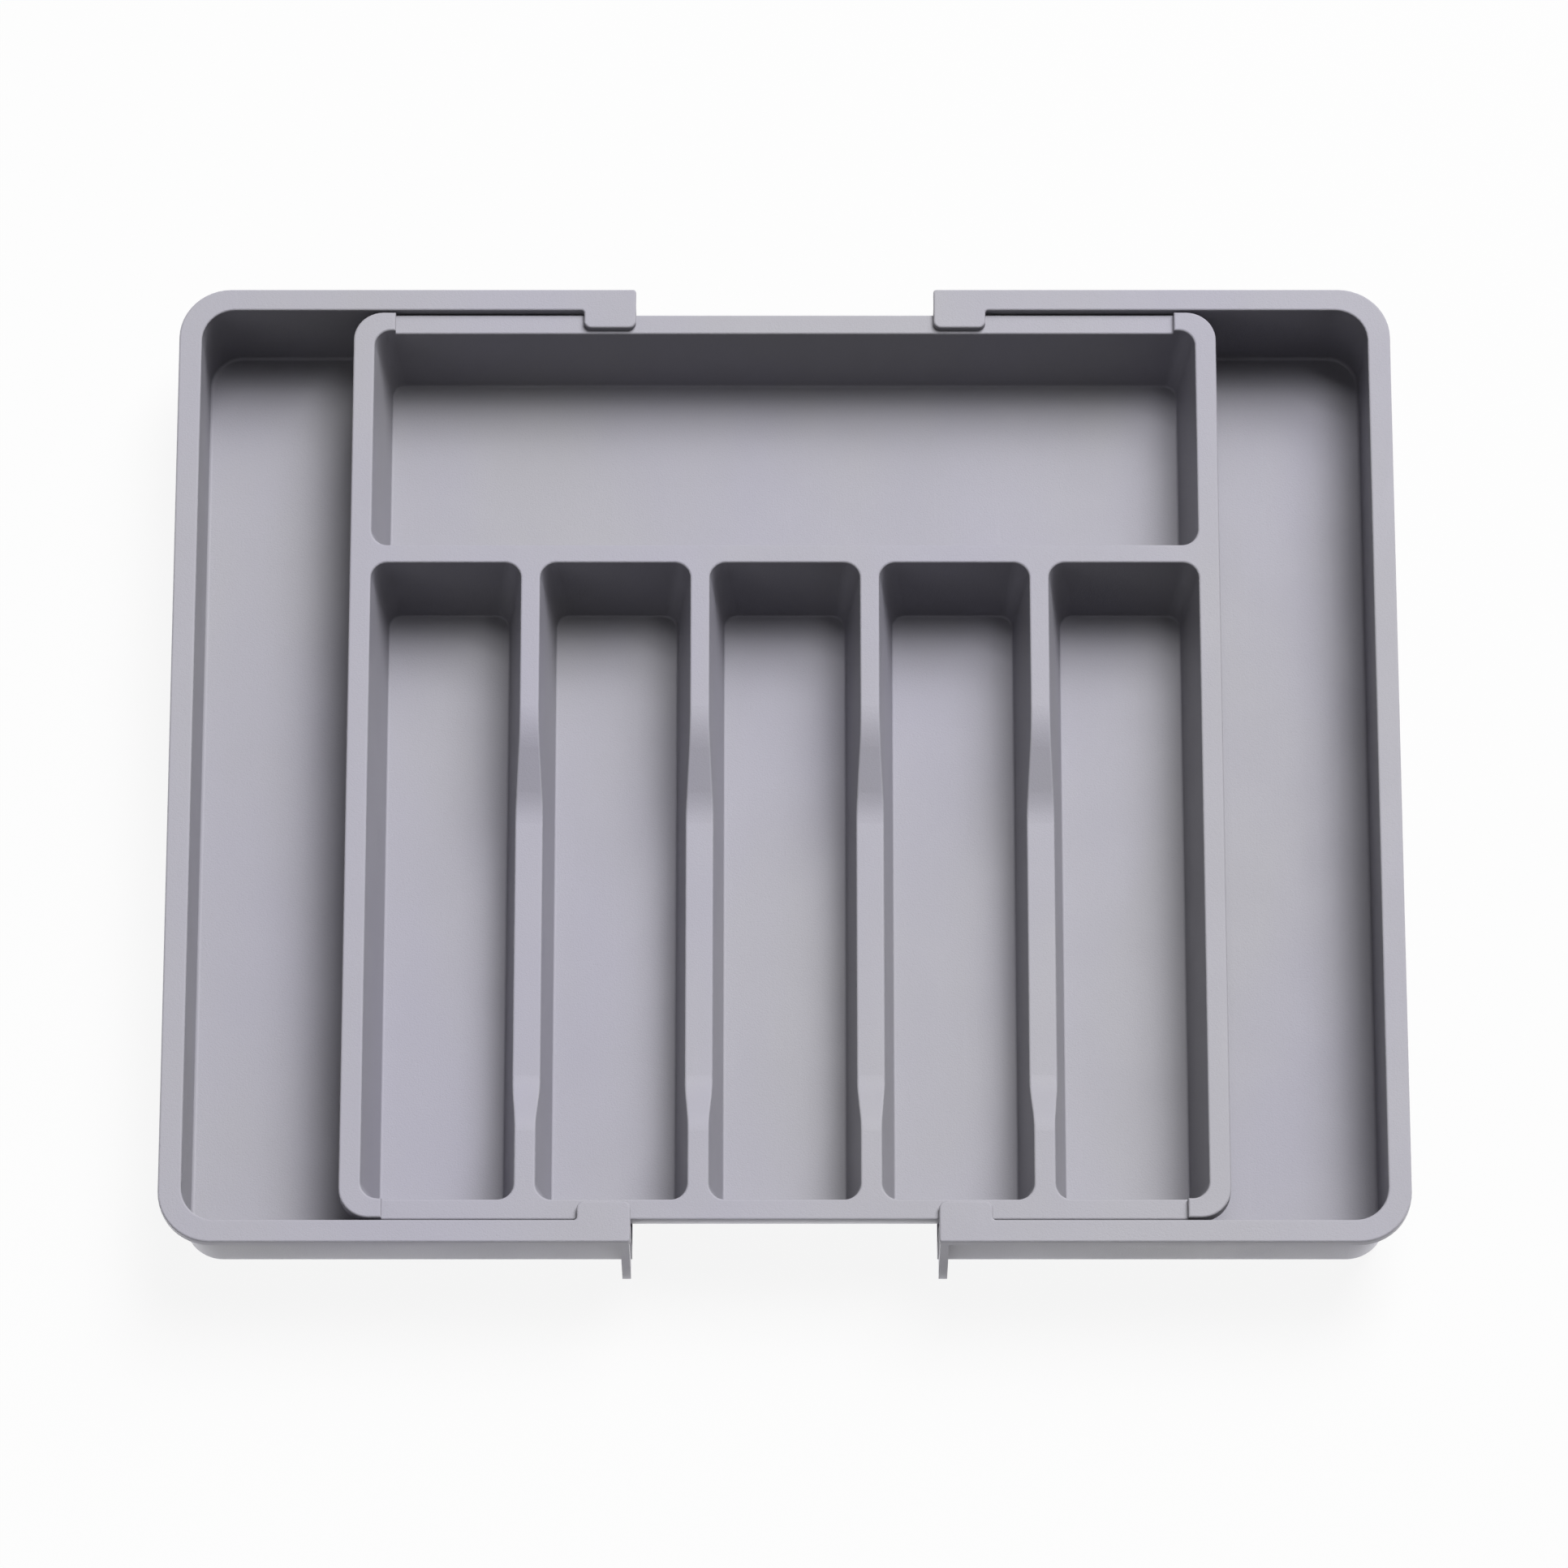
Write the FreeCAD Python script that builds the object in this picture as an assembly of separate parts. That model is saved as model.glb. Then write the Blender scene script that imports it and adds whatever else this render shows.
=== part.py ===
import FreeCAD, Part
import math
import os

# Expandable cutlery tray in millimetres: a centre tray of drafted pockets rides inside two side
# trays, which pull out to the left and right. +X is right, +Y is back and +Z is up. The origin is
# under the middle of the tray, on the surface that the feet stand on.

Vector = FreeCAD.Vector

# Whole tray
tray_depth = 406.0  # front to back over the lips of the side trays
rim_height = 52.0  # resting surface to the top of the rims
end_gap = 121.2  # between the ends of the two side trays, half pulled out
cut_overrun = 2.0  # how far a cut runs past the face that it opens
match = 0.01  # heights closer than this count as equal

# Side trays
side_length = 185.75  # end face to the outer edge of the lip
side_corner_radius = 20.9  # outer corners of the lip
side_pocket_radius = 13.3  # inside corners
lip_width = 9.2
lip_thickness = 2.7
skirt_height = 4.3
skirt_thickness = 2.0
side_wall = 2.2
side_wall_lean = 0.8  # how far the wall comes in between the lip and the floor
side_floor = 2.2
side_floor_round = 1.5
side_base_round = 1.8
tab_width = 21.1
tab_reach = 7.7
tab_radius = 3.0
tab_root_radius = 1.2
end_corner_radius = 1.2
flange_thickness = 3.4
flange_recess = 0.6  # flange edge behind the edge of the lip
flange_inset = 0.5  # flange face behind the end of the lip
flange_lift = 0.3  # flange bottom above the resting surface

# Rubber feet under the side trays
foot_diameter = 13.0
foot_stand = 1.8  # from the resting surface to the underside of the tray
foot_seat_depth = 0.8
foot_seat_clearance = 0.15
foot_edge_round = 0.6
foot_outer_inset = 38.0  # foot centre from the outer edge of the lip
foot_end_inset = 24.0  # foot centre from the end face
foot_depth_inset = 38.0  # foot centre from the front or back edge of the lip

# Centre tray
centre_width = 350.8
centre_corner_radius = 12.0
slide_clearance = 0.9  # centre rim to the lips of the side trays
floor_clearance = 0.4  # centre floor above the side floors
tab_clearance = 0.3  # rail below the tabs
side_rim_width = 8.5
rail_width = 7.9
centre_rim = 3.0  # thickness of the rim, the rails and the tops of the dividers
centre_skirt = 2.0
centre_wall = 2.0
centre_floor = 2.5
centre_base_round = 1.6
ear_length = 17.0  # raised corner of the rim that stops the tab
draft_angle = 7.2  # degrees
pocket_radius = 6.7
pocket_floor_radius = 5.5
pocket_floor_round = 1.0
slot_count = 5
slot_length = 268.4
crossbar_width = 7.5
divider_width = 7.6
dip_depth = 13.5
dip_start = 70.4  # from the crossbar to the top of the back ramp
dip_end = 33.3  # from the front rail to the top of the front ramp
back_ramp_angle = 24.0  # degrees
back_ramp_top_radius = 40.0
back_ramp_foot_radius = 30.0
front_ramp_angle = 31.0  # degrees
front_ramp_radius = 16.0

# Rounding of every edge that a hand meets
edge_round = 0.8

# Places worked out from the sizes above
half_depth = tray_depth / 2
side_end = end_gap / 2
side_outer = side_end + side_length
side_base = foot_stand
side_floor_top = side_base + side_floor
lip_underside = rim_height - lip_thickness
skirt_bottom = rim_height - skirt_height
rail_height = lip_underside - tab_clearance
rail_bottom = rail_height - centre_rim
rim_underside = rim_height - centre_rim
centre_base = side_floor_top + floor_clearance
centre_floor_top = centre_base + centre_floor
half_centre = centre_width / 2
half_centre_depth = half_depth - lip_width - slide_clearance
half_inner = half_centre - side_rim_width
half_inner_depth = half_centre_depth - rail_width
ear_end = half_centre - ear_length
crossbar_front = slot_length - half_inner_depth
crossbar_back = crossbar_front + crossbar_width
slot_width = (2 * half_inner - (slot_count - 1) * divider_width) / slot_count
slot_pitch = slot_width + divider_width
pocket_depth = rim_height - centre_floor_top
draft_slope = math.tan(math.radians(draft_angle))
corner_taper = (pocket_radius - pocket_floor_radius) / pocket_depth
above_rim = rim_height + cut_overrun
tub_limits = (-half_inner, half_inner, -half_inner_depth, half_inner_depth)


def rounded_wire(corners):
    """Closed wire through corners of (point, radius), with an arc of that radius at each."""
    spans = []
    for i, (point, radius) in enumerate(corners):
        arrive = (point - corners[i - 1][0]).normalize()
        leave = (corners[(i + 1) % len(corners)][0] - point).normalize()
        half_turn = arrive.getAngle(leave) / 2
        setback = radius * math.tan(half_turn)
        bulge = radius / math.cos(half_turn) - radius
        middle = point + (leave - arrive).normalize() * bulge
        spans.append((point - arrive * setback, middle, point + leave * setback, radius))
    edges = []
    for i, (start, middle, end, radius) in enumerate(spans):
        edges.append(Part.LineSegment(spans[i - 1][2], start).toShape())
        if radius > 0:
            edges.append(Part.Arc(start, middle, end).toShape())
    return Part.Wire(edges)


def rectangle(x_low, x_high, y_low, y_high, radius, z):
    """Rectangle at height z with round corners."""
    points = [(x_low, y_low), (x_high, y_low), (x_high, y_high), (x_low, y_high)]
    return rounded_wire([(Vector(x, y, z), radius) for x, y in points])


def prism(wire, height):
    """Upright solid on a flat outline."""
    return Part.Face(wire).extrude(Vector(0, 0, height))


def block(x_low, x_high, y_low, y_high, z_low, z_high):
    """Box between two corners."""
    return Part.makeBox(x_high - x_low, y_high - y_low, z_high - z_low, Vector(x_low, y_low, z_low))


def drafted(low, high):
    """Solid between two outlines with as many edges, with flat faces between straight edges."""
    faces = [Part.Face(low), Part.Face(high)]
    for below, above in zip(low.OrderedEdges, high.OrderedEdges):
        if below.Curve.TypeId == "Part::GeomLine":
            points = [v.Point for v in below.Vertexes] + [v.Point for v in reversed(above.Vertexes)]
            faces.append(Part.Face(Part.makePolygon(points, True)))
        else:
            faces.append(Part.makeRuledSurface(below, above))
    shell = Part.Shell(faces)
    shell.reverse()
    return Part.Solid(shell)


def edges_at(solid, z):
    """Edges that lie flat at height z."""
    return [edge for edge in solid.Edges if all(abs(v.Z - z) < match for v in edge.Vertexes)]


def round_at(solid, z, radius):
    """The solid with its edges at height z rounded."""
    return solid.makeFillet(radius, edges_at(solid, z))


def side_section(z, grow, end):
    """Outline of the left tray's inside at height z, grown outwards, closed at x = end."""
    lean = side_wall_lean * (lip_underside - z) / (lip_underside - side_floor_top)
    x_low = lip_width + lean - grow - side_outer
    y_high = half_depth - lip_width - lean + grow
    radius = side_pocket_radius + grow
    return rounded_wire(
        [
            (Vector(end, -y_high, z), 0),
            (Vector(end, y_high, z), 0),
            (Vector(x_low, y_high, z), radius),
            (Vector(x_low, -y_high, z), radius),
        ]
    )


def side_block(z_low, z_high, grow, end):
    """Solid between two outlines of the left tray's inside."""
    return drafted(side_section(z_low, grow, end), side_section(z_high, grow, end))


def round_side_base(solid, radius, end):
    """The solid with its bottom edges rounded, apart from the one at x = end."""
    bottom = edges_at(solid, solid.BoundBox.ZMin)
    kept = [edge for edge in bottom if any(abs(v.X - end) > match for v in edge.Vertexes)]
    return solid.makeFillet(radius, kept)


def lip_plate():
    """Flat lip of the left tray, with the two tabs that hook over the rails."""
    inner = half_depth - lip_width
    tab_edge = inner - tab_reach
    tab_root = -side_end - tab_width
    half_outline = [
        (-side_end, tab_edge, tab_radius),
        (-side_end, half_depth, end_corner_radius),
        (-side_outer, half_depth, side_corner_radius),
    ]
    half_inline = [
        (lip_width - side_outer, inner, side_pocket_radius),
        (tab_root, inner, tab_root_radius),
        (tab_root, tab_edge, tab_radius),
    ]
    front_outline = [(x, -y, radius) for x, y, radius in reversed(half_outline)]
    front_inline = [(x, -y, radius) for x, y, radius in reversed(half_inline)]
    corners = half_outline + front_outline + front_inline + half_inline
    plate = prism(
        rounded_wire([(Vector(x, y, lip_underside), radius) for x, y, radius in corners]), lip_thickness
    )
    return round_at(plate, rim_height, edge_round)


def lip_skirt():
    """Downturned outer edge of the left tray's lip."""
    outline = [
        (-side_end, -half_depth, end_corner_radius),
        (-side_end, half_depth, end_corner_radius),
        (-side_outer, half_depth, side_corner_radius),
        (-side_outer, -half_depth, side_corner_radius),
    ]
    outer = rounded_wire([(Vector(x, y, skirt_bottom), radius) for x, y, radius in outline])
    x_inner = side_outer - skirt_thickness
    y_inner = half_depth - skirt_thickness
    inner_radius = side_corner_radius - skirt_thickness
    inner = rectangle(-x_inner, x_inner, -y_inner, y_inner, inner_radius, skirt_bottom)
    drop = lip_underside - skirt_bottom
    return prism(outer, drop).cut(prism(inner, drop))


def end_flange(front):
    """Upright plate that closes the front or back end of the left tray's wall."""
    inner = half_depth - lip_width - side_wall_lean + side_wall / 2
    outer = half_depth - flange_recess
    y_low, y_high = (-outer, -inner) if front else (inner, outer)
    x_high = -side_end - flange_inset
    return block(x_high - flange_thickness, x_high, y_low, y_high, flange_lift, lip_underside)


def foot_places():
    """Names and centres of the feet under the left tray."""
    y = half_depth - foot_depth_inset
    columns = [("outer", foot_outer_inset - side_outer), ("inner", -side_end - foot_end_inset)]
    rows = [("back", y), ("front", -y)]
    return {f"{row}_{column}_foot": (fx, fy) for row, fy in rows for column, fx in columns}


def left_tray():
    """Left side tray: lip with skirt and tabs, walls, floor, end flanges and seats for the feet."""
    shell = side_block(side_base, lip_underside, side_wall, -side_end)
    shell = round_side_base(shell, side_base_round, -side_end)
    open_end = cut_overrun - side_end
    inside = side_block(side_floor_top, above_rim, 0, open_end)
    inside = round_side_base(inside, side_floor_round, open_end)
    tray = shell.cut(inside).fuse([lip_plate(), lip_skirt(), end_flange(True), end_flange(False)])
    seat_radius = foot_diameter / 2 + foot_seat_clearance
    for x, y in foot_places().values():
        tray = tray.cut(Part.makeCylinder(seat_radius, foot_seat_depth, Vector(x, y, side_base)))
    return tray.removeSplitter()


def foot(x, y):
    """Round rubber foot, seated in the underside of a side tray."""
    disc = Part.makeCylinder(foot_diameter / 2, foot_stand + foot_seat_depth, Vector(x, y, 0))
    return round_at(disc, 0, foot_edge_round)


def pockets():
    """Openings of the centre tray at rim height, as x and y limits: the slots, then the back one."""
    first = -half_inner
    places = []
    for i in range(slot_count):
        x_low = first + i * slot_pitch
        places.append((x_low, x_low + slot_width, -half_inner_depth, crossbar_front))
    places.append((-half_inner, half_inner, crossbar_back, half_inner_depth))
    return places


def pocket_section(pocket, z, grow):
    """Outline of a drafted pocket at height z, grown outwards."""
    x_low, x_high, y_low, y_high = pocket
    below_rim = rim_height - z
    lean = below_rim * draft_slope - grow
    radius = pocket_radius - below_rim * corner_taper + grow
    return rectangle(x_low + lean, x_high - lean, y_low + lean, y_high - lean, radius, z)


def pocket_block(pocket, z_low, z_high, grow):
    """Solid that fills a drafted pocket between two heights."""
    return drafted(pocket_section(pocket, z_low, grow), pocket_section(pocket, z_high, grow))


def tub_block(top):
    """Outside of the whole tub up to a height, with its bottom edges rounded."""
    tub = pocket_block(tub_limits, centre_base, top, centre_wall)
    return round_at(tub, centre_base, centre_base_round)


def divider_face(drop, y_low, y_high):
    """Side view of the dividers below their dipped top edge, lowered by drop."""
    dip = rim_height - dip_depth
    back_top = crossbar_front - dip_start
    back_foot = back_top - dip_depth / math.tan(math.radians(back_ramp_angle))
    front_top = dip_end - half_inner_depth
    front_foot = front_top + (rail_height - dip) / math.tan(math.radians(front_ramp_angle))
    corners = [
        (y_low, centre_base, 0),
        (y_high, centre_base, 0),
        (y_high, rim_height - drop, 0),
        (back_top, rim_height - drop, back_ramp_top_radius),
        (back_foot, dip - drop, back_ramp_foot_radius),
        (front_foot, dip - drop, front_ramp_radius),
        (front_top, rail_height - drop, front_ramp_radius),
        (y_low, rail_height - drop, 0),
    ]
    return Part.Face(rounded_wire([(Vector(0, y, z), radius) for y, z, radius in corners]))


def divider_block(drop, half_width, y_low, y_high):
    """Solid under the dividers' top edge, across the tray."""
    face = divider_face(drop, y_low, y_high)
    face.translate(Vector(-half_width, 0, 0))
    return face.extrude(Vector(2 * half_width, 0, 0))


def rim_deck():
    """Plate of the rim, from its top down to the underside of the rails."""
    outer = half_centre_depth
    outline = rectangle(-half_centre, half_centre, -outer, outer, centre_corner_radius, rail_bottom)
    return prism(outline, rim_height - rail_bottom)


def rail_notch(front):
    """Space above the front or back rail, between the ears of the rim."""
    inner = half_inner_depth - pocket_radius
    outer = half_centre_depth + cut_overrun
    y_low, y_high = (-outer, -inner) if front else (inner, outer)
    return block(-ear_end, ear_end, y_low, y_high, rail_height, above_rim)


def rim_channel(tub):
    """Space under the raised rim, between the skirt and the wall of the tub."""
    inset_x = half_centre - centre_skirt
    inset_y = half_centre_depth - centre_skirt
    radius = centre_corner_radius - centre_skirt
    low = rail_bottom - cut_overrun
    ring = prism(rectangle(-inset_x, inset_x, -inset_y, inset_y, radius, low), rim_underside - low)
    rail_side = ear_end + centre_rim
    rails = block(-rail_side, rail_side, -half_centre_depth, half_centre_depth, low, rim_height)
    return ring.cut([tub, rails])


def top_edges(tray):
    """Edges where the top faces of the centre tray turn down into its sides."""
    lowest = rim_height - dip_depth - match
    steepest = math.cos(math.radians(max(back_ramp_angle, front_ramp_angle)))
    owners = {}
    tops = set()
    for number, face in enumerate(tray.Faces):
        u_low, u_high, v_low, v_high = face.ParameterRange
        normal = face.normalAt((u_low + u_high) / 2, (v_low + v_high) / 2)
        if normal.z > steepest - match and face.BoundBox.ZMin > lowest:
            tops.add(number)
        for edge in face.Edges:
            owners.setdefault(edge.hashCode(), (edge, []))[1].append(number)
    found = []
    for edge, numbers in owners.values():
        sides = [number for number in numbers if number not in tops]
        if len(sides) != 1 or len(numbers) != 2:
            continue
        if tray.Faces[sides[0]].CenterOfMass.z < edge.CenterOfMass.z:
            found.append(edge)
    return found


def centre_tray():
    """Centre tray: tub with hollow dividers, rim with rails and ears, and drafted pockets."""
    tub = tub_block(rim_height - centre_rim / 2)
    # Between the middles of the outer slots everything stands under the dividers' top edge
    divider_reach = slot_pitch * (slot_count - 1) / 2
    divider_front = -half_inner_depth - centre_wall / 2
    divider_back = (crossbar_front + crossbar_back) / 2
    zone = block(-divider_reach, divider_reach, divider_front, divider_back, 0, above_rim)
    dividers = divider_block(0, divider_reach, divider_front, divider_back).common(tub_block(above_rim))
    tray = tub.fuse(rim_deck()).cut([zone, rail_notch(True), rail_notch(False)]).fuse(dividers)
    cups = [pocket_block(p, centre_base - cut_overrun, rim_height, centre_wall) for p in pockets()]
    inner = pocket_block(tub_limits, centre_base - cut_overrun, rim_underside, 0)
    hollow = divider_block(centre_rim, half_inner, -half_inner_depth, crossbar_back + centre_wall)
    hollow = hollow.common(inner).cut(cups)
    openings = [pocket_block(p, centre_floor_top, above_rim, 0) for p in pockets()]
    openings = [round_at(opening, centre_floor_top, pocket_floor_round) for opening in openings]
    tray = tray.cut([hollow, rim_channel(tub)]).cut(openings).removeSplitter()
    return tray.makeFillet(edge_round, top_edges(tray))


def write(name, shape):
    """One file for each piece."""
    shape.exportStep(f"parts/{name}.step")


def main():
    """Writes every piece of the tray."""
    os.makedirs("parts", exist_ok=True)
    across = Vector(1, 0, 0)
    middle = Vector(0, 0, 0)
    left = left_tray()
    write("centre_tray", centre_tray())
    write("left_tray", left)
    write("right_tray", left.mirror(middle, across))
    for name, (x, y) in foot_places().items():
        write(f"left_{name}", foot(x, y))
        write(f"right_{name}", foot(-x, y))


main()
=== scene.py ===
"""Looks of an expandable cutlery tray: moulded plastic trays on rubber feet, in a white studio."""

import logging
import math
from dataclasses import dataclass
from enum import Enum

import bpy
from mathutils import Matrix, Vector

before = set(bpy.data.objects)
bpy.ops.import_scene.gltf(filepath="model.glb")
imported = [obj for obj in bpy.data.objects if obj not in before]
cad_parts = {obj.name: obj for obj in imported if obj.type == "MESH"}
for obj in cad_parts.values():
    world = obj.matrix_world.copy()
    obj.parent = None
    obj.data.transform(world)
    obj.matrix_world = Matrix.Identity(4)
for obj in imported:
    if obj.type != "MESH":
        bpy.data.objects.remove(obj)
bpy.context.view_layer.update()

log = logging.getLogger("cutlery_tray")

Colour = tuple[float, float, float]
Point = tuple[float, float, float]
Pair = tuple[float, float]

MM = 0.001
WHITE: Colour = (1.0, 1.0, 1.0)
FULL = 1.0

# Sockets of the Mix node where it mixes colours
MIX_SHARE, MIX_FIRST, MIX_SECOND, MIX_RESULT = 0, 6, 7, 2


class Side(Enum):
    """The two side trays, which pull out of the centre tray."""

    LEFT = "left"
    RIGHT = "right"


class Slot(Enum):
    """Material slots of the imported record."""

    PLASTIC = "tray_plastic"
    RUBBER = "foot_rubber"


class SocketKind(Enum):
    """Kinds of socket on a shader node group."""

    VALUE = "NodeSocketFloat"
    COLOUR = "NodeSocketColor"
    VECTOR = "NodeSocketVector"


class Sum(Enum):
    """Operations on two values."""

    ADD = "ADD"
    SUBTRACT = "SUBTRACT"
    MULTIPLY = "MULTIPLY"
    LARGER = "MAXIMUM"
    ABOVE = "GREATER_THAN"


class Blend(Enum):
    """Ways to lay one colour over another."""

    MIX = "MIX"
    MULTIPLY = "MULTIPLY"


def rgba(colour: Colour) -> tuple[float, float, float, float]:
    """Opaque colour with its alpha."""
    return (*colour, 1.0)


class NodeTree:
    """A node tree that is filled in by short calls."""

    def __init__(self, tree: bpy.types.NodeTree) -> None:
        """Starts from an empty tree.

        Args:
            tree: The material's, world's or group's own tree.
        """
        self.tree = tree
        tree.nodes.clear()

    def add(self, kind: str, inputs: dict | None = None, **settings: object) -> bpy.types.Node:
        """Adds a node.

        Args:
            kind: Blender's name for the node type.
            inputs: Values or sockets for its inputs, by name or number.
            **settings: Properties of the node itself.

        Returns:
            The new node.
        """
        node = self.tree.nodes.new(kind)
        for name, value in settings.items():
            setattr(node, name, value)
        for name, value in (inputs or {}).items():
            self.feed(node, name, value)
        return node

    def feed(self, node: bpy.types.Node, name: str | int, value: object) -> None:
        """Links a socket into an input, or sets the input's own value.

        Args:
            node: The node that is fed.
            name: Its input, by name or number.
            value: A socket of another node, or a plain value.
        """
        if isinstance(value, bpy.types.NodeSocket):
            self.tree.links.new(value, node.inputs[name])
        else:
            node.inputs[name].default_value = value

    def place(self) -> bpy.types.NodeSocket:
        """Place on the object, in metres."""
        return self.add("ShaderNodeTexCoord").outputs["Object"]

    def scaled(self, place: bpy.types.NodeSocket, scale: object) -> bpy.types.NodeSocket:
        """Place stretched along each axis."""
        inputs = {0: place, 1: scale}
        return self.add("ShaderNodeVectorMath", inputs, operation="MULTIPLY").outputs[0]

    def noise(
        self, place: bpy.types.NodeSocket, scale: object, detail: float, roughness: float = 0.5
    ) -> bpy.types.NodeSocket:
        """Noise over the surface."""
        inputs = {"Vector": place, "Scale": scale, "Detail": detail, "Roughness": roughness}
        return self.add("ShaderNodeTexNoise", inputs).outputs[0]

    def sum(self, operation: Sum, first: object, second: object) -> bpy.types.NodeSocket:
        """Result of an operation on two sockets or numbers."""
        inputs = {0: first, 1: second}
        return self.add("ShaderNodeMath", inputs, operation=operation.value).outputs[0]

    def mix(
        self, share: object, first: object, second: object, blend: Blend = Blend.MIX
    ) -> bpy.types.NodeSocket:
        """Mix of two colours.

        Args:
            share: How much of the second colour is taken.
            first: Socket or colour.
            second: Socket or colour.
            blend: How the second colour is laid over the first.

        Returns:
            The mixed colour's socket.
        """
        node = self.add("ShaderNodeMix", data_type="RGBA", blend_type=blend.value)
        self.feed(node, MIX_SHARE, share)
        self.feed(node, MIX_FIRST, first)
        self.feed(node, MIX_SECOND, second)
        return node.outputs[MIX_RESULT]

    def spread(
        self, value: bpy.types.NodeSocket, span: Pair, ends: Pair = (0.0, 1.0)
    ) -> bpy.types.NodeSocket:
        """Value stretched from one range to another and held inside it.

        Args:
            value: The socket to stretch.
            span: Values that give the two ends.
            ends: Results at those two values.

        Returns:
            The stretched value's socket.
        """
        node = self.add("ShaderNodeMapRange", {0: value})
        for number, limit in enumerate((*span, *ends), start=1):
            self.feed(node, number, limit)
        return node.outputs[0]


class EffectGroup:
    """A shader node group with named inputs and outputs."""

    def __init__(
        self, name: str, inputs: dict[str, SocketKind], outputs: dict[str, SocketKind]
    ) -> None:
        """Makes the group and its sockets.

        Args:
            name: What the effect is called.
            inputs: Kinds of its inputs, by name.
            outputs: Kinds of its outputs, by name.
        """
        self.group = bpy.data.node_groups.new(name, "ShaderNodeTree")
        self.nodes = NodeTree(self.group)
        for names, direction in ((inputs, "INPUT"), (outputs, "OUTPUT")):
            for socket, kind in names.items():
                self.group.interface.new_socket(
                    socket, in_out=direction, socket_type=kind.value
                )
        self.given = self.nodes.add("NodeGroupInput").outputs
        self.result = self.nodes.add("NodeGroupOutput")

    def put(self, name: str, value: bpy.types.NodeSocket) -> None:
        """Links a socket to one of the group's outputs."""
        self.nodes.feed(self.result, name, value)

    def apply(self, nodes: NodeTree, inputs: dict) -> bpy.types.bpy_prop_collection:
        """Places the effect in a material.

        Args:
            nodes: The material's nodes.
            inputs: Values or sockets for the group's inputs, by name.

        Returns:
            The outputs of the placed group.
        """
        node = nodes.add("ShaderNodeGroup", node_tree=self.group)
        for name, value in inputs.items():
            nodes.feed(node, name, value)
        return node.outputs


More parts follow.
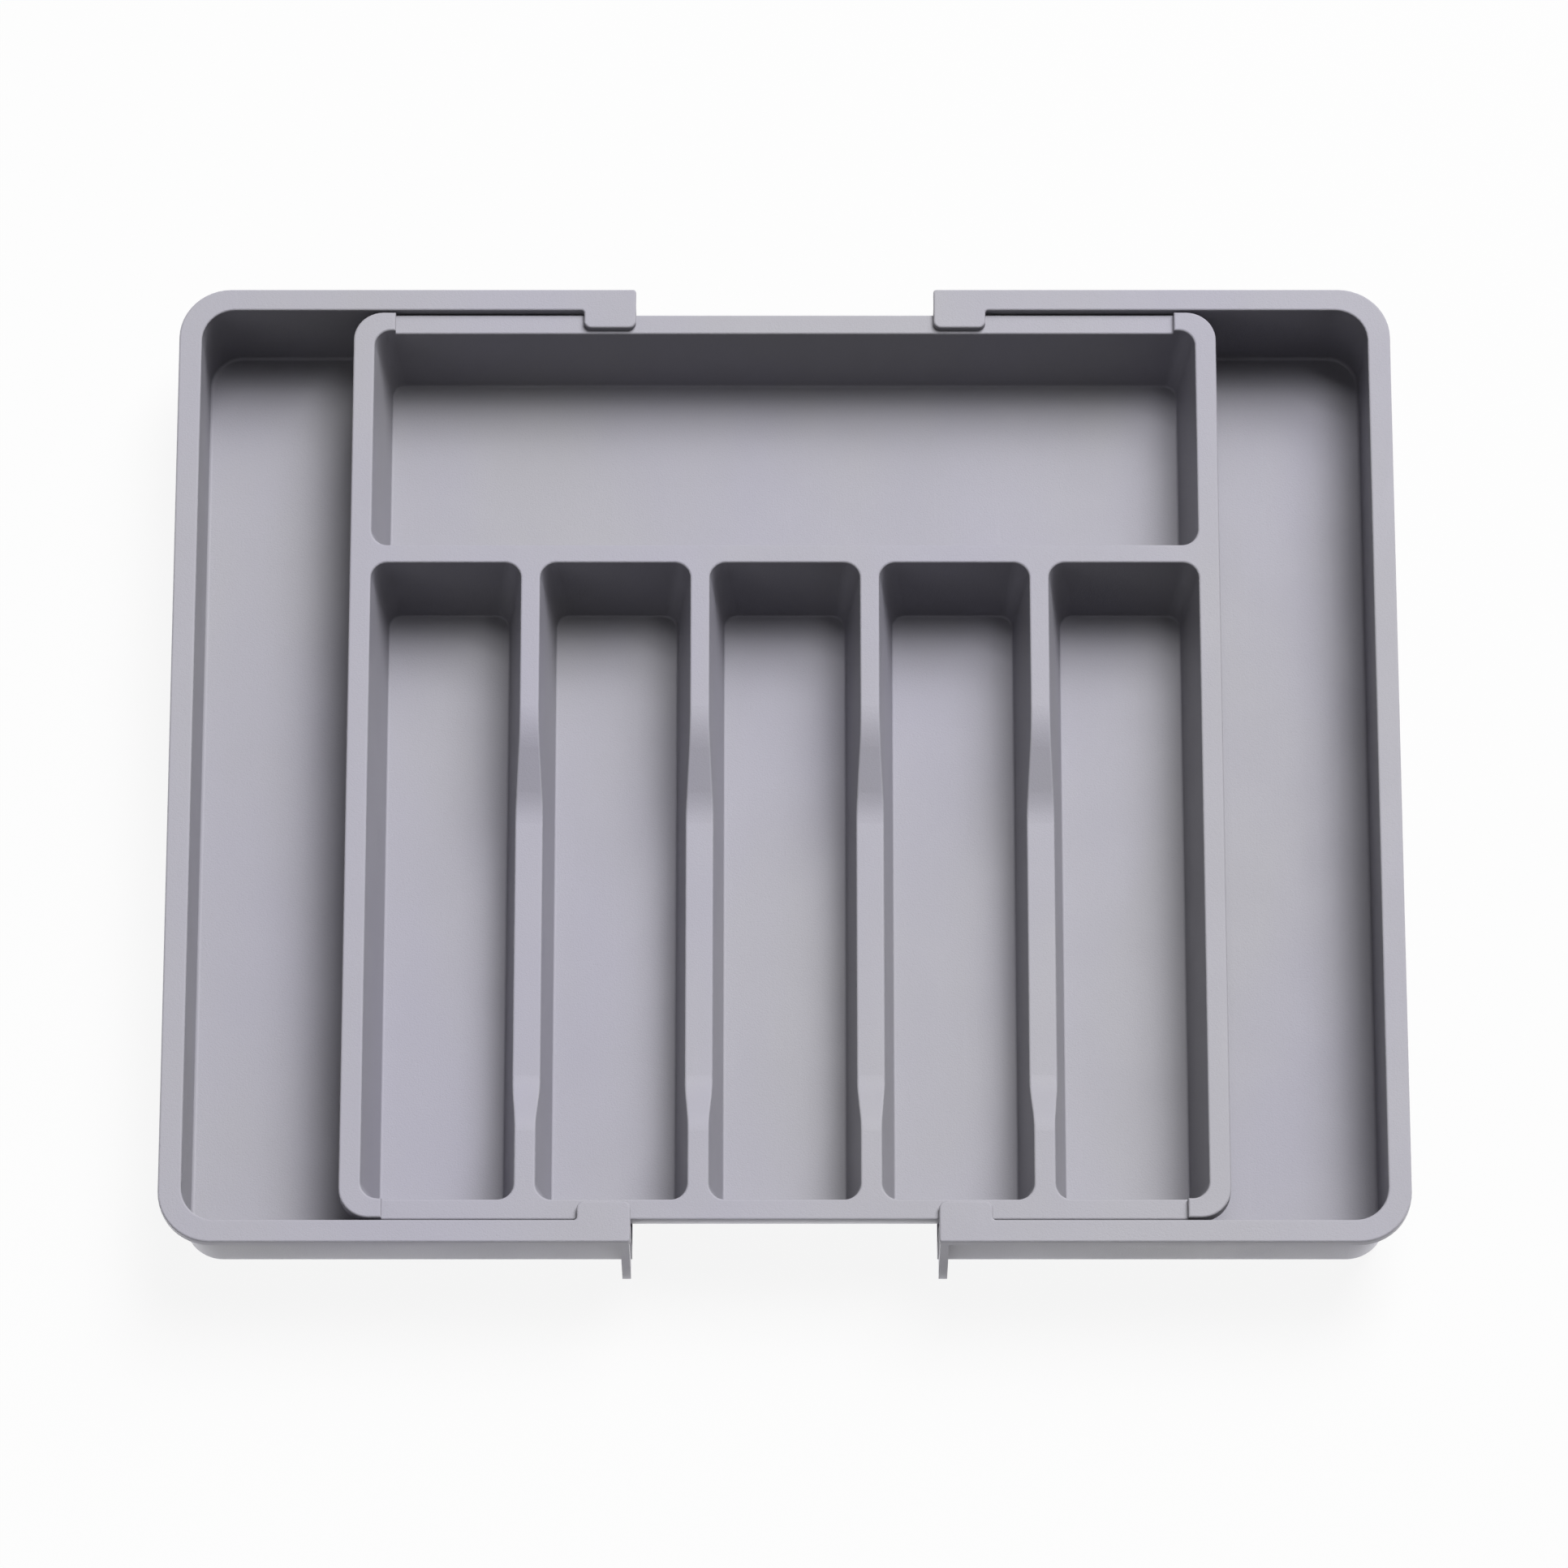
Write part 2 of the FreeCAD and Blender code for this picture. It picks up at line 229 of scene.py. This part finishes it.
@dataclass
class SurfaceEffects:
    """Effects that the finishes share.

    A span is the range of a noise that a mask is stretched over. The rubbed edges, lighter partly
    as wear and partly as a painted highlight on the rounding, lie between two ranges of the
    normal's upward share.
    """

    grain_detail: float = 3.0
    grain_roughness: float = 0.6
    pit_span: Pair = (0.0, 0.45)
    pit_depth: float = 0.35
    cloud_detail: float = 4.0
    cloud_span: Pair = (0.35, 0.65)
    edge_start: Pair = (0.2, 0.45)
    edge_end: Pair = (0.7, 0.84)
    break_detail: float = 3.0
    break_span: Pair = (0.3, 0.6)
    least_rubbed_highlight: float = 0.35
    line_detail: float = 2.0
    line_span: Pair = (0.58, 0.72)
    patch_detail: float = 5.0
    patch_span: Pair = (0.4, 0.62)

    def __post_init__(self) -> None:
        """Builds each effect once."""
        self.grain = self._grain()
        self.drift = self._drift()
        self.rubbed_edges_and_highlight = self._rubbed_edges_and_highlight()
        self.handling = self._handling()

    def _grain(self) -> EffectGroup:
        """Fine eroded grain of a mould.

        Returns:
            Group with the grain's height and a mask of its shallow pits.
        """
        effect = EffectGroup(
            "moulded_grain",
            {"Grains per metre": SocketKind.VALUE, "Pits per metre": SocketKind.VALUE},
            {"Height": SocketKind.VALUE, "Pits": SocketKind.VALUE},
        )
        nodes = effect.nodes
        place = nodes.place()
        grain = nodes.noise(
            place, effect.given["Grains per metre"], self.grain_detail, self.grain_roughness
        )
        cells = nodes.add(
            "ShaderNodeTexVoronoi",
            {"Vector": place, "Scale": effect.given["Pits per metre"]},
            feature="F1",
        ).outputs["Distance"]
        pits = nodes.spread(cells, self.pit_span, (1.0, 0.0))
        sunk = nodes.sum(Sum.MULTIPLY, pits, self.pit_depth)
        effect.put("Height", nodes.sum(Sum.SUBTRACT, grain, sunk))
        effect.put("Pits", pits)
        return effect

    def _drift(self) -> EffectGroup:
        """Slow drift between two close colours, as pigment settles in a moulding.

        Returns:
            Group with the drifting colour.
        """
        effect = EffectGroup(
            "pigment_drift",
            {
                "Colour": SocketKind.COLOUR,
                "Drift colour": SocketKind.COLOUR,
                "Clouds per metre": SocketKind.VALUE,
                "Stretch": SocketKind.VECTOR,
            },
            {"Colour": SocketKind.COLOUR},
        )
        nodes = effect.nodes
        flow = nodes.scaled(nodes.place(), effect.given["Stretch"])
        clouds = nodes.noise(flow, effect.given["Clouds per metre"], self.cloud_detail)
        mask = nodes.spread(clouds, self.cloud_span)
        drifted = nodes.mix(mask, effect.given["Colour"], effect.given["Drift colour"])
        effect.put("Colour", drifted)
        return effect

    def _rubbed_edges_and_highlight(self) -> EffectGroup:
        """Rounded top edges that hands and cutlery rub, lightened partly as wear and partly as a
        painted highlight, broken up by noise.

        Returns:
            Group with a mask that is 1 on a rubbed edge, which also carries the painted highlight.
        """
        effect = EffectGroup(
            "rubbed_edges_and_highlight",
            {"Lowest edge": SocketKind.VALUE, "Breaks per metre": SocketKind.VALUE},
            {"Mask": SocketKind.VALUE},
        )
        nodes = effect.nodes
        place = nodes.place()
        facing = nodes.add("ShaderNodeNewGeometry").outputs["Normal"]
        upward = nodes.add("ShaderNodeSeparateXYZ", {0: facing}).outputs["Z"]
        height = nodes.add("ShaderNodeSeparateXYZ", {0: place}).outputs["Z"]
        leaving_wall = nodes.spread(upward, self.edge_start)
        reaching_top = nodes.spread(upward, self.edge_end, (1.0, 0.0))
        turning = nodes.sum(Sum.MULTIPLY, leaving_wall, reaching_top)
        raised = nodes.sum(Sum.ABOVE, height, effect.given["Lowest edge"])
        noise = nodes.noise(place, effect.given["Breaks per metre"], self.break_detail)
        broken = nodes.spread(noise, self.break_span, (self.least_rubbed_highlight, 1.0))
        edge = nodes.sum(Sum.MULTIPLY, turning, raised)
        effect.put("Mask", nodes.sum(Sum.MULTIPLY, edge, broken))
        return effect

    def _handling(self) -> EffectGroup:
        """Faint marks of use: fine lines along the slots and dull patches.

        Returns:
            Group with a mask of the lines and one of the patches.
        """
        effect = EffectGroup(
            "handling_marks",
            {"Lines": SocketKind.VECTOR, "Patches per metre": SocketKind.VALUE},
            {"Lines": SocketKind.VALUE, "Patches": SocketKind.VALUE},
        )
        nodes = effect.nodes
        place = nodes.place()
        drawn = nodes.scaled(place, effect.given["Lines"])
        lines = nodes.noise(drawn, FULL, self.line_detail)
        patches = nodes.noise(place, effect.given["Patches per metre"], self.patch_detail)
        effect.put("Lines", nodes.spread(lines, self.line_span))
        effect.put("Patches", nodes.spread(patches, self.patch_span))
        return effect


@dataclass(frozen=True)
class MouldedFinish:
    """What the finishes have in common: drifting pigment, a moulded grain and marks of use."""

    name: str
    colour: Colour
    drift_colour: Colour
    roughness: float
    patch_roughness: float
    specular: float
    clouds_per_metre: float
    cloud_stretch: Point
    patches_per_metre: float
    grains_per_metre: float
    pits_per_metre: float
    grain_depth: float
    grain_strength: float

    def start(self) -> tuple[bpy.types.Material, NodeTree]:
        """Makes the material, still empty.

        Returns:
            The material and its nodes.
        """
        material = bpy.data.materials.new(self.name)
        material.use_nodes = True
        return material, NodeTree(material.node_tree)

    def moulding(
        self, nodes: NodeTree, effects: SurfaceEffects
    ) -> bpy.types.bpy_prop_collection:
        """Outputs of the moulded grain, placed in the material."""
        inputs = {
            "Grains per metre": self.grains_per_metre, "Pits per metre": self.pits_per_metre
        }
        return effects.grain.apply(nodes, inputs)

    def pigment(self, nodes: NodeTree, effects: SurfaceEffects) -> bpy.types.NodeSocket:
        """Places the drift of the pigment.

        Args:
            nodes: The material's nodes.
            effects: The shared effects.

        Returns:
            The drifting colour's socket.
        """
        inputs = {
            "Colour": rgba(self.colour),
            "Drift colour": rgba(self.drift_colour),
            "Clouds per metre": self.clouds_per_metre,
            "Stretch": self.cloud_stretch,
        }
        return effects.drift.apply(nodes, inputs)["Colour"]

    def dulled(self, nodes: NodeTree, patches: bpy.types.NodeSocket) -> bpy.types.NodeSocket:
        """Roughness, higher in the dull patches."""
        dull = nodes.sum(Sum.MULTIPLY, patches, self.patch_roughness)
        return nodes.sum(Sum.ADD, self.roughness, dull)

    def close(
        self,
        nodes: NodeTree,
        colour: bpy.types.NodeSocket,
        rough: bpy.types.NodeSocket,
        height: bpy.types.NodeSocket,
    ) -> None:
        """Adds the shader, its bump and the material's output.

        Args:
            nodes: The material's nodes.
            colour: Colour of the surface.
            rough: Roughness of the surface.
            height: Height of the grain.
        """
        bump = nodes.add(
            "ShaderNodeBump",
            {"Strength": self.grain_strength, "Distance": self.grain_depth, "Height": height},
        )
        surface = nodes.add(
            "ShaderNodeBsdfPrincipled",
            {
                "Base Color": colour,
                "Roughness": rough,
                "Specular IOR Level": self.specular,
                "Normal": bump.outputs["Normal"],
            },
        )
        nodes.add("ShaderNodeOutputMaterial", {"Surface": surface.outputs[0]})


@dataclass(frozen=True)
class PlasticFinish(MouldedFinish):
    """Satin moulded plastic in a pale lavender grey."""

    name: str = "lavender_grey_plastic"
    colour: Colour = (0.456, 0.444, 0.524)
    drift_colour: Colour = (0.463, 0.455, 0.500)
    # Painted highlight: the rounded top edges are lightened towards this colour, partly as rubbing
    # wear and partly standing in for light catching the rounding.
    rubbed_highlight_colour: Colour = (0.560, 0.555, 0.590)
    rubbed_highlight_strength: float = 0.55
    lowest_edge: float = 30.0 * MM
    breaks_per_metre: float = 90.0
    pit_colour: Colour = (0.36, 0.355, 0.39)
    pit_strength: float = 0.15
    roughness: float = 0.42
    patch_roughness: float = 0.05
    line_polish: float = 0.04
    rubbed_polish: float = 0.08
    specular: float = 0.2
    bounce_share: float = 0.2
    clouds_per_metre: float = 9.0
    cloud_stretch: Point = (1.0, 0.45, 1.0)
    line_scale: Point = (900.0, 14.0, 900.0)
    patches_per_metre: float = 28.0
    grains_per_metre: float = 1300.0
    pits_per_metre: float = 1500.0
    grain_depth: float = 0.09 * MM
    grain_strength: float = 0.75

    def deepened(
        self, nodes: NodeTree, colour: bpy.types.NodeSocket
    ) -> bpy.types.NodeSocket:
        """Colour that passes on less of the light that has already bounced.

        Args:
            nodes: The material's nodes.
            colour: Colour of the surface.

        Returns:
            The same colour, darker for diffuse rays.
        """
        bounced = nodes.add("ShaderNodeLightPath").outputs["Is Diffuse Ray"]
        deep = nodes.mix(FULL, colour, rgba((self.bounce_share,) * 3), Blend.MULTIPLY)
        return nodes.mix(bounced, colour, deep)

    def material(self, effects: SurfaceEffects) -> bpy.types.Material:
        """Makes the material.

        Args:
            effects: The shared effects.

        Returns:
            The finished material.
        """
        material, nodes = self.start()
        grain = self.moulding(nodes, effects)
        rubbed_highlight = effects.rubbed_edges_and_highlight.apply(
            nodes, {"Lowest edge": self.lowest_edge, "Breaks per metre": self.breaks_per_metre}
        )["Mask"]
        marks = effects.handling.apply(
            nodes, {"Lines": self.line_scale, "Patches per metre": self.patches_per_metre}
        )
        # Painted highlight: the rubbed edges turn lighter, partly as wear and partly standing in
        # for light catching the rounded top edges.
        wear_and_highlight_share = nodes.sum(Sum.MULTIPLY, rubbed_highlight, self.rubbed_highlight_strength)
        colour = nodes.mix(wear_and_highlight_share, self.pigment(nodes, effects), rgba(self.rubbed_highlight_colour))
        pits = nodes.sum(Sum.MULTIPLY, grain["Pits"], self.pit_strength)
        colour = nodes.mix(pits, colour, rgba(self.pit_colour))
        rough = self.dulled(nodes, marks["Patches"])
        for mask, polish in ((marks["Lines"], self.line_polish), (rubbed_highlight, self.rubbed_polish)):
            polished = nodes.sum(Sum.MULTIPLY, mask, polish)
            rough = nodes.sum(Sum.SUBTRACT, rough, polished)
        self.close(nodes, self.deepened(nodes, colour), rough, grain["Height"])
        return material


@dataclass(frozen=True)
class RubberFinish(MouldedFinish):
    """Soft matt rubber in dark grey."""

    name: str = "dark_grey_rubber"
    colour: Colour = (0.126, 0.126, 0.136)
    drift_colour: Colour = (0.142, 0.142, 0.148)
    dust_colour: Colour = (0.26, 0.255, 0.25)
    dust_strength: float = 0.25
    roughness: float = 0.78
    patch_roughness: float = 0.1
    specular: float = 0.3
    clouds_per_metre: float = 160.0
    cloud_stretch: Point = (1.0, 1.0, 1.0)
    patches_per_metre: float = 240.0
    grains_per_metre: float = 1400.0
    pits_per_metre: float = 900.0
    grain_depth: float = 0.04 * MM
    grain_strength: float = 0.6

    def material(self, effects: SurfaceEffects) -> bpy.types.Material:
        """Makes the material.

        Args:
            effects: The shared effects.

        Returns:
            The finished material.
        """
        material, nodes = self.start()
        grain = self.moulding(nodes, effects)
        patches = effects.handling.apply(
            nodes, {"Patches per metre": self.patches_per_metre}
        )["Patches"]
        dusty = nodes.sum(Sum.MULTIPLY, patches, self.dust_strength)
        colour = nodes.mix(dusty, self.pigment(nodes, effects), rgba(self.dust_colour))
        self.close(nodes, colour, self.dulled(nodes, patches), grain["Height"])
        return material


def dress_node(name: str, material: bpy.types.Material) -> bpy.types.Object:
    """Gives a CAD node its material.

    Args:
        name: The node.
        material: Its finish.

    Returns:
        The node's object.
    """
    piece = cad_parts[name]
    piece.data.materials.clear()
    piece.data.materials.append(material)
    return piece


@dataclass
class CentreTray:
    """Tray of slots that rides between the two side trays."""

    node: str = "centre_tray"

    def dress(self, plastic: bpy.types.Material) -> list[bpy.types.Object]:
        """Dresses the moulding in plastic and returns it in a list."""
        return [dress_node(self.node, plastic)]


@dataclass
class SideTray:
    """One of the two side trays, with its rubber feet."""

    side: Side
    rows: tuple[str, ...] = ("back", "front")
    columns: tuple[str, ...] = ("outer", "inner")

    def feet(self) -> list[str]:
        """Names of the feet under this tray."""
        spots = [f"{row}_{column}" for row in self.rows for column in self.columns]
        return [f"{self.side.value}_{spot}_foot" for spot in spots]

    def dress(
        self, plastic: bpy.types.Material, rubber: bpy.types.Material
    ) -> list[bpy.types.Object]:
        """Dresses the moulding in plastic and its feet in rubber, and returns them."""
        tray = dress_node(f"{self.side.value}_tray", plastic)
        return [tray] + [dress_node(foot, rubber) for foot in self.feet()]


@dataclass(frozen=True)
class SoftBox:
    """Rectangular lamp with an even glow."""

    name: str
    place: Point
    aim: Point
    size: Pair
    glow: float

    @classmethod
    def far(
        cls,
        name: str,
        height: float,
        turn: float,
        half_angles: Pair,
        glow: float,
        distance: float = 9.0,
    ) -> "SoftBox":
        """Large lamp far from the tray.

        Args:
            name: What the lamp is called.
            height: Degrees above the floor.
            turn: Degrees from the back towards the right.
            half_angles: Half its width and half its height as seen from the tray, in degrees.
            glow: Brightness of its face, where 1 is white.
            distance: Metres from the tray.

        Returns:
            The lamp.
        """
        level = distance * math.cos(math.radians(height))
        place = (
            level * math.sin(math.radians(turn)),
            level * math.cos(math.radians(turn)),
            distance * math.sin(math.radians(height)),
        )
        width, tall = (2.0 * distance * math.tan(math.radians(half)) for half in half_angles)
        return cls(name, place, (0.0, 0.0, 0.0), (width, tall), glow)

    def build(self) -> None:
        """Builds the lamp, which the camera doesn't see."""
        light = bpy.data.lights.new(self.name, "AREA")
        light.shape = "RECTANGLE"
        light.size, light.size_y = self.size
        light.energy = math.pi * self.size[0] * self.size[1] * self.glow
        lamp = bpy.data.objects.new(self.name, light)
        lamp.location = self.place
        backwards = Vector(self.place) - Vector(self.aim)
        lamp.rotation_euler = backwards.to_track_quat("Z", "Y").to_euler()
        lamp.visible_camera = False
        bpy.context.scene.collection.objects.link(lamp)


@dataclass(frozen=True)
class Studio:
    """White studio with a pale floor, soft lamps and the camera.

    The key light comes from the back right in three parts. A weak fill stands at the front left,
    and a weak lamp that lies on the floor lights the outer walls of the tray from below.
    """

    floor_half: float = 6.0
    floor_colour: Colour = (0.88, 0.88, 0.88)
    floor_white_share: float = 0.9
    ambient: float = 0.065
    lamps: tuple[SoftBox, ...] = (
        SoftBox.far("key_high", height=70.0, turn=29.0, half_angles=(14.0, 8.0), glow=9.0),
        SoftBox.far("key_middle", height=55.0, turn=29.0, half_angles=(14.0, 10.0), glow=7.25),
        SoftBox.far("key_low", height=44.0, turn=30.0, half_angles=(15.0, 12.0), glow=3.9),
        SoftBox(
            "fill", place=(-0.7, -0.7, 0.5), aim=(0.0, 0.0, 0.03), size=(0.8, 0.5), glow=0.35
        ),
        SoftBox(
            "light_table",
            place=(0.0, 0.0, 0.4 * MM),
            aim=(0.0, 0.0, 1.0),
            size=(0.66, 0.412),
            glow=0.8,
        ),
    )
    camera_place: Point = (-0.0003, -1.22395, 3.35506)
    camera_tilt: float = math.radians(20.151)
    camera_lens: float = 202.27
    camera_sensor: float = 36.0

    @staticmethod
    def white_rays(nodes: NodeTree) -> bpy.types.NodeSocket:
        """Mask of the rays that see the background as white.

        Args:
            nodes: The tree that needs the mask.

        Returns:
            Socket that is 1 for camera, glossy and transmission rays.
        """
        path = nodes.add("ShaderNodeLightPath").outputs
        seen = nodes.sum(Sum.LARGER, path["Is Camera Ray"], path["Is Glossy Ray"])
        return nodes.sum(Sum.LARGER, seen, path["Is Transmission Ray"])

    def build_world(self) -> None:
        """World that is white to look at and lights the tray softly."""
        world = bpy.data.worlds.new("studio")
        world.use_nodes = True
        nodes = NodeTree(world.node_tree)
        soft, white = (
            nodes.add("ShaderNodeBackground", {"Color": rgba(WHITE), "Strength": strength})
            for strength in (self.ambient, FULL)
        )
        shown = nodes.add(
            "ShaderNodeMixShader",
            {0: self.white_rays(nodes), 1: soft.outputs[0], 2: white.outputs[0]},
        )
        nodes.add("ShaderNodeOutputWorld", {"Surface": shown.outputs[0]})
        bpy.context.scene.world = world

    def floor_paint(self) -> bpy.types.Material:
        """Pale paint that looks white and keeps the tray's shadow.

        Returns:
            The floor's material.
        """
        material = bpy.data.materials.new("pale_floor")
        material.use_nodes = True
        nodes = NodeTree(material.node_tree)
        paint = nodes.add("ShaderNodeBsdfDiffuse", {"Color": rgba(self.floor_colour)})
        white = nodes.add("ShaderNodeEmission", {"Color": rgba(WHITE), "Strength": FULL})
        share = nodes.sum(Sum.MULTIPLY, self.white_rays(nodes), self.floor_white_share)
        shown = nodes.add(
            "ShaderNodeMixShader", {0: share, 1: paint.outputs[0], 2: white.outputs[0]}
        )
        nodes.add("ShaderNodeOutputMaterial", {"Surface": shown.outputs[0]})
        return material

    def build_floor(self) -> None:
        """Builds the floor that the tray stands on."""
        half = self.floor_half
        corners = [(-half, -half, 0.0), (half, -half, 0.0), (half, half, 0.0), (-half, half, 0.0)]
        mesh = bpy.data.meshes.new("studio_floor")
        mesh.from_pydata(corners, [], [(0, 1, 2, 3)])
        mesh.materials.append(self.floor_paint())
        floor = bpy.data.objects.new("studio_floor", mesh)
        bpy.context.scene.collection.objects.link(floor)

    def build_camera(self) -> None:
        """Builds the camera at the photograph's place, high in front of the tray."""
        data = bpy.data.cameras.new("camera")
        data.lens = self.camera_lens
        data.sensor_width = self.camera_sensor
        camera = bpy.data.objects.new("camera", data)
        camera.location = self.camera_place
        camera.rotation_euler = (self.camera_tilt, 0.0, 0.0)
        bpy.context.scene.collection.objects.link(camera)
        bpy.context.scene.camera = camera

    def build(self) -> None:
        """Builds the whole studio and sets the view transform."""
        self.build_world()
        self.build_floor()
        for lamp in self.lamps:
            lamp.build()
        self.build_camera()
        bpy.context.scene.view_settings.view_transform = "Standard"


def main() -> None:
    """Builds the studio and dresses the tray, and reports each piece."""
    logging.basicConfig(level=logging.INFO, format="%(name)s: %(message)s")
    Studio().build()
    effects = SurfaceEffects()
    plastic = PlasticFinish().material(effects)
    rubber = RubberFinish().material(effects)
    pieces = CentreTray().dress(plastic)
    for side in Side:
        pieces += SideTray(side).dress(plastic, rubber)
    for piece in pieces:
        log.info("%s dressed in %s", piece.name, piece.data.materials[0].name)


if __name__ == "__main__":
    main()
